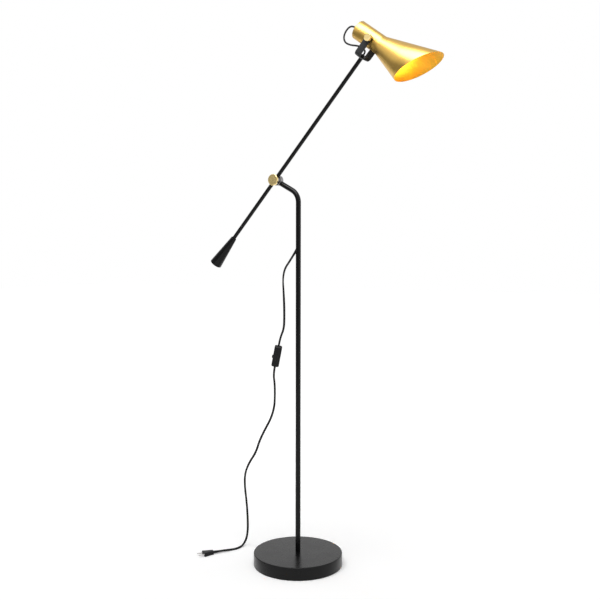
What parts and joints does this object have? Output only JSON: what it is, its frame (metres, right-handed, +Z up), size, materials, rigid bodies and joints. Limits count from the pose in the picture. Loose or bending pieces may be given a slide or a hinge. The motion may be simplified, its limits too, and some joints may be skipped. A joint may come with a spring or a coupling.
{
  "type": "adjustable arm floor lamp",
  "caption": "Floor lamp with a weighted disc base, a bent post, a tilting counterweighted arm, a brass shade in a yoke, and a mains cord with a slide switch.",
  "frame": {"origin": "centre of the base's underside, on the floor under the post", "axes": "+Z up, +X the way the arm reaches, -Y the side of the clamp knobs"},
  "size_m": [0.7996, 0.28, 1.6549],
  "materials": {
    "black_coat": "satin",
    "brass": "brushed",
    "iron": "rough",
    "felt": "matte",
    "steel": "brushed",
    "pivot_steel": "satin grey plating",
    "black_plastic": "matte",
    "cord": "matte",
    "lamp_glass": "frosted"
  },
  "bodies": {
    "stand": {"base_cover": "black_coat", "base_weight": "iron", "base_pad": "felt", "base_bolt": "steel", "base_washer": "steel", "post_plug": "steel", "post": "black_coat", "cord_relief": "cord", "pivot_housing": "pivot_steel", "pivot_bolt": "steel", "pivot_cap": "black_coat", "friction_washer": "black_plastic", "cord_upper": "cord", "switch_back": "black_plastic", "switch_front": "black_plastic", "switch_screws": "steel", "cord_lower": "cord", "plug_sleeve": "cord", "plug_body": "black_plastic", "plug_pins": "steel"},
    "arm": {"arm_hub": "pivot_steel", "arm_tube": "black_coat", "arm_rod": "black_coat", "counterweight": "black_coat", "weight_screw": "steel", "arm_nipple": "black_coat", "yoke": "black_coat", "yoke_washer": "black_coat", "yoke_nut": "black_coat"},
    "head": {"shade": "brass", "rear_cap": "brass", "head_gland": "black_plastic", "holder_nipple": "steel", "holder_nut": "steel", "lampholder": "black_plastic", "lamp_cap": "steel", "lamp_glass": "lamp_glass", "shade_spacer_front": "black_plastic", "shade_spacer_rear": "black_plastic", "shade_boss_front": "steel", "shade_boss_rear": "steel", "head_cable": "cord"},
    "clamp_knob": {"arm_knob": "brass"},
    "front_knob": {"shade_knob_front": "brass"},
    "rear_knob": {"shade_knob_rear": "brass"},
    "button": {"switch_button": "black_plastic"}
  },
  "joints": [
    {"name": "arm_tilt", "type": "hinge", "parent": "stand", "child": "arm", "pos_m": [-0.0764, -0.01605, 1.2124], "axis": [0, 1, 0], "range_deg": [-30, 60]},
    {"name": "shade_tilt", "type": "hinge", "parent": "arm", "child": "head", "pos_m": [0.2648, -0.01605, 1.59602], "axis": [0, 1, 0], "range_deg": [-10, 45], "deforming": ["head_cable"]},
    {"name": "clamp_knob_turn", "type": "hinge", "parent": "stand", "child": "clamp_knob", "pos_m": [-0.0764, -0.01605, 1.2124], "axis": [0, -1, 0], "range_deg": [0, 360]},
    {"name": "front_knob_turn", "type": "hinge", "parent": "arm", "child": "front_knob", "pos_m": [0.2648, -0.01605, 1.59602], "axis": [0, -1, 0], "range_deg": [0, 360]},
    {"name": "rear_knob_turn", "type": "hinge", "parent": "arm", "child": "rear_knob", "pos_m": [0.2648, -0.01605, 1.59602], "axis": [0, 1, 0], "range_deg": [0, 360]},
    {"name": "switch_slide", "type": "slide", "parent": "stand", "child": "button", "axis": [0.2147, 0, 0.9767], "range_m": [0, 0.006]}
  ]
}
